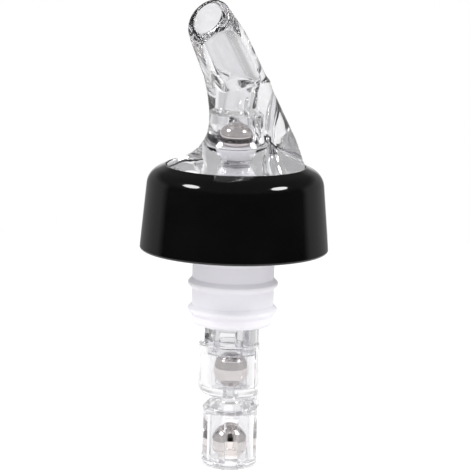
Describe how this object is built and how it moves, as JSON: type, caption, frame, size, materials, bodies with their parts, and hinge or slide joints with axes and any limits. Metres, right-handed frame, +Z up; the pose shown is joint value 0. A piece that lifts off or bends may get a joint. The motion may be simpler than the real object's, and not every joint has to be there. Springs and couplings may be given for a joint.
{
  "type": "measured liquor pourer",
  "caption": "Bottle-top pourer with a leaning clear spout, black collar, ringed white stopper and a clear tail whose steel balls cut the flow after one measure.",
  "frame": {"origin": "on the stopper's axis, in the plane where the bottle's lip meets the stopper's head", "axes": "+Z up along the stopper's axis to the spout, +X the way the spout pours, +Y to the left of that"},
  "size_m": [0.042, 0.042, 0.1072],
  "materials": {
    "clear_plastic": "clear, polished",
    "black_plastic": "gloss black",
    "white_plastic": "milky white, satin",
    "steel": "polished stainless steel"
  },
  "bodies": {
    "pourer": {"spout": "clear_plastic", "collar": "black_plastic", "cork": "white_plastic", "measuring_tube": "clear_plastic", "valve_seat": "white_plastic", "tail": "clear_plastic", "cage_cap": "clear_plastic", "breather_tube": "clear_plastic"},
    "timing_ball": {"timing_ball": "steel"},
    "breather_ball": {"breather_ball": "steel"},
    "spout_ball": {"spout_ball": "steel"}
  },
  "joints": [
    {"name": "timing_ball_run", "type": "slide", "parent": "pourer", "child": "timing_ball", "axis": [0, 0, 1], "range_m": [0, 0.0433]},
    {"name": "breather_ball_run", "type": "slide", "parent": "pourer", "child": "breather_ball", "axis": [0, 0, 1], "range_m": [0, 0.0043]},
    {"name": "spout_ball_run", "type": "slide", "parent": "pourer", "child": "spout_ball", "axis": [0, 0, 1], "range_m": [0, 0.0026]}
  ]
}
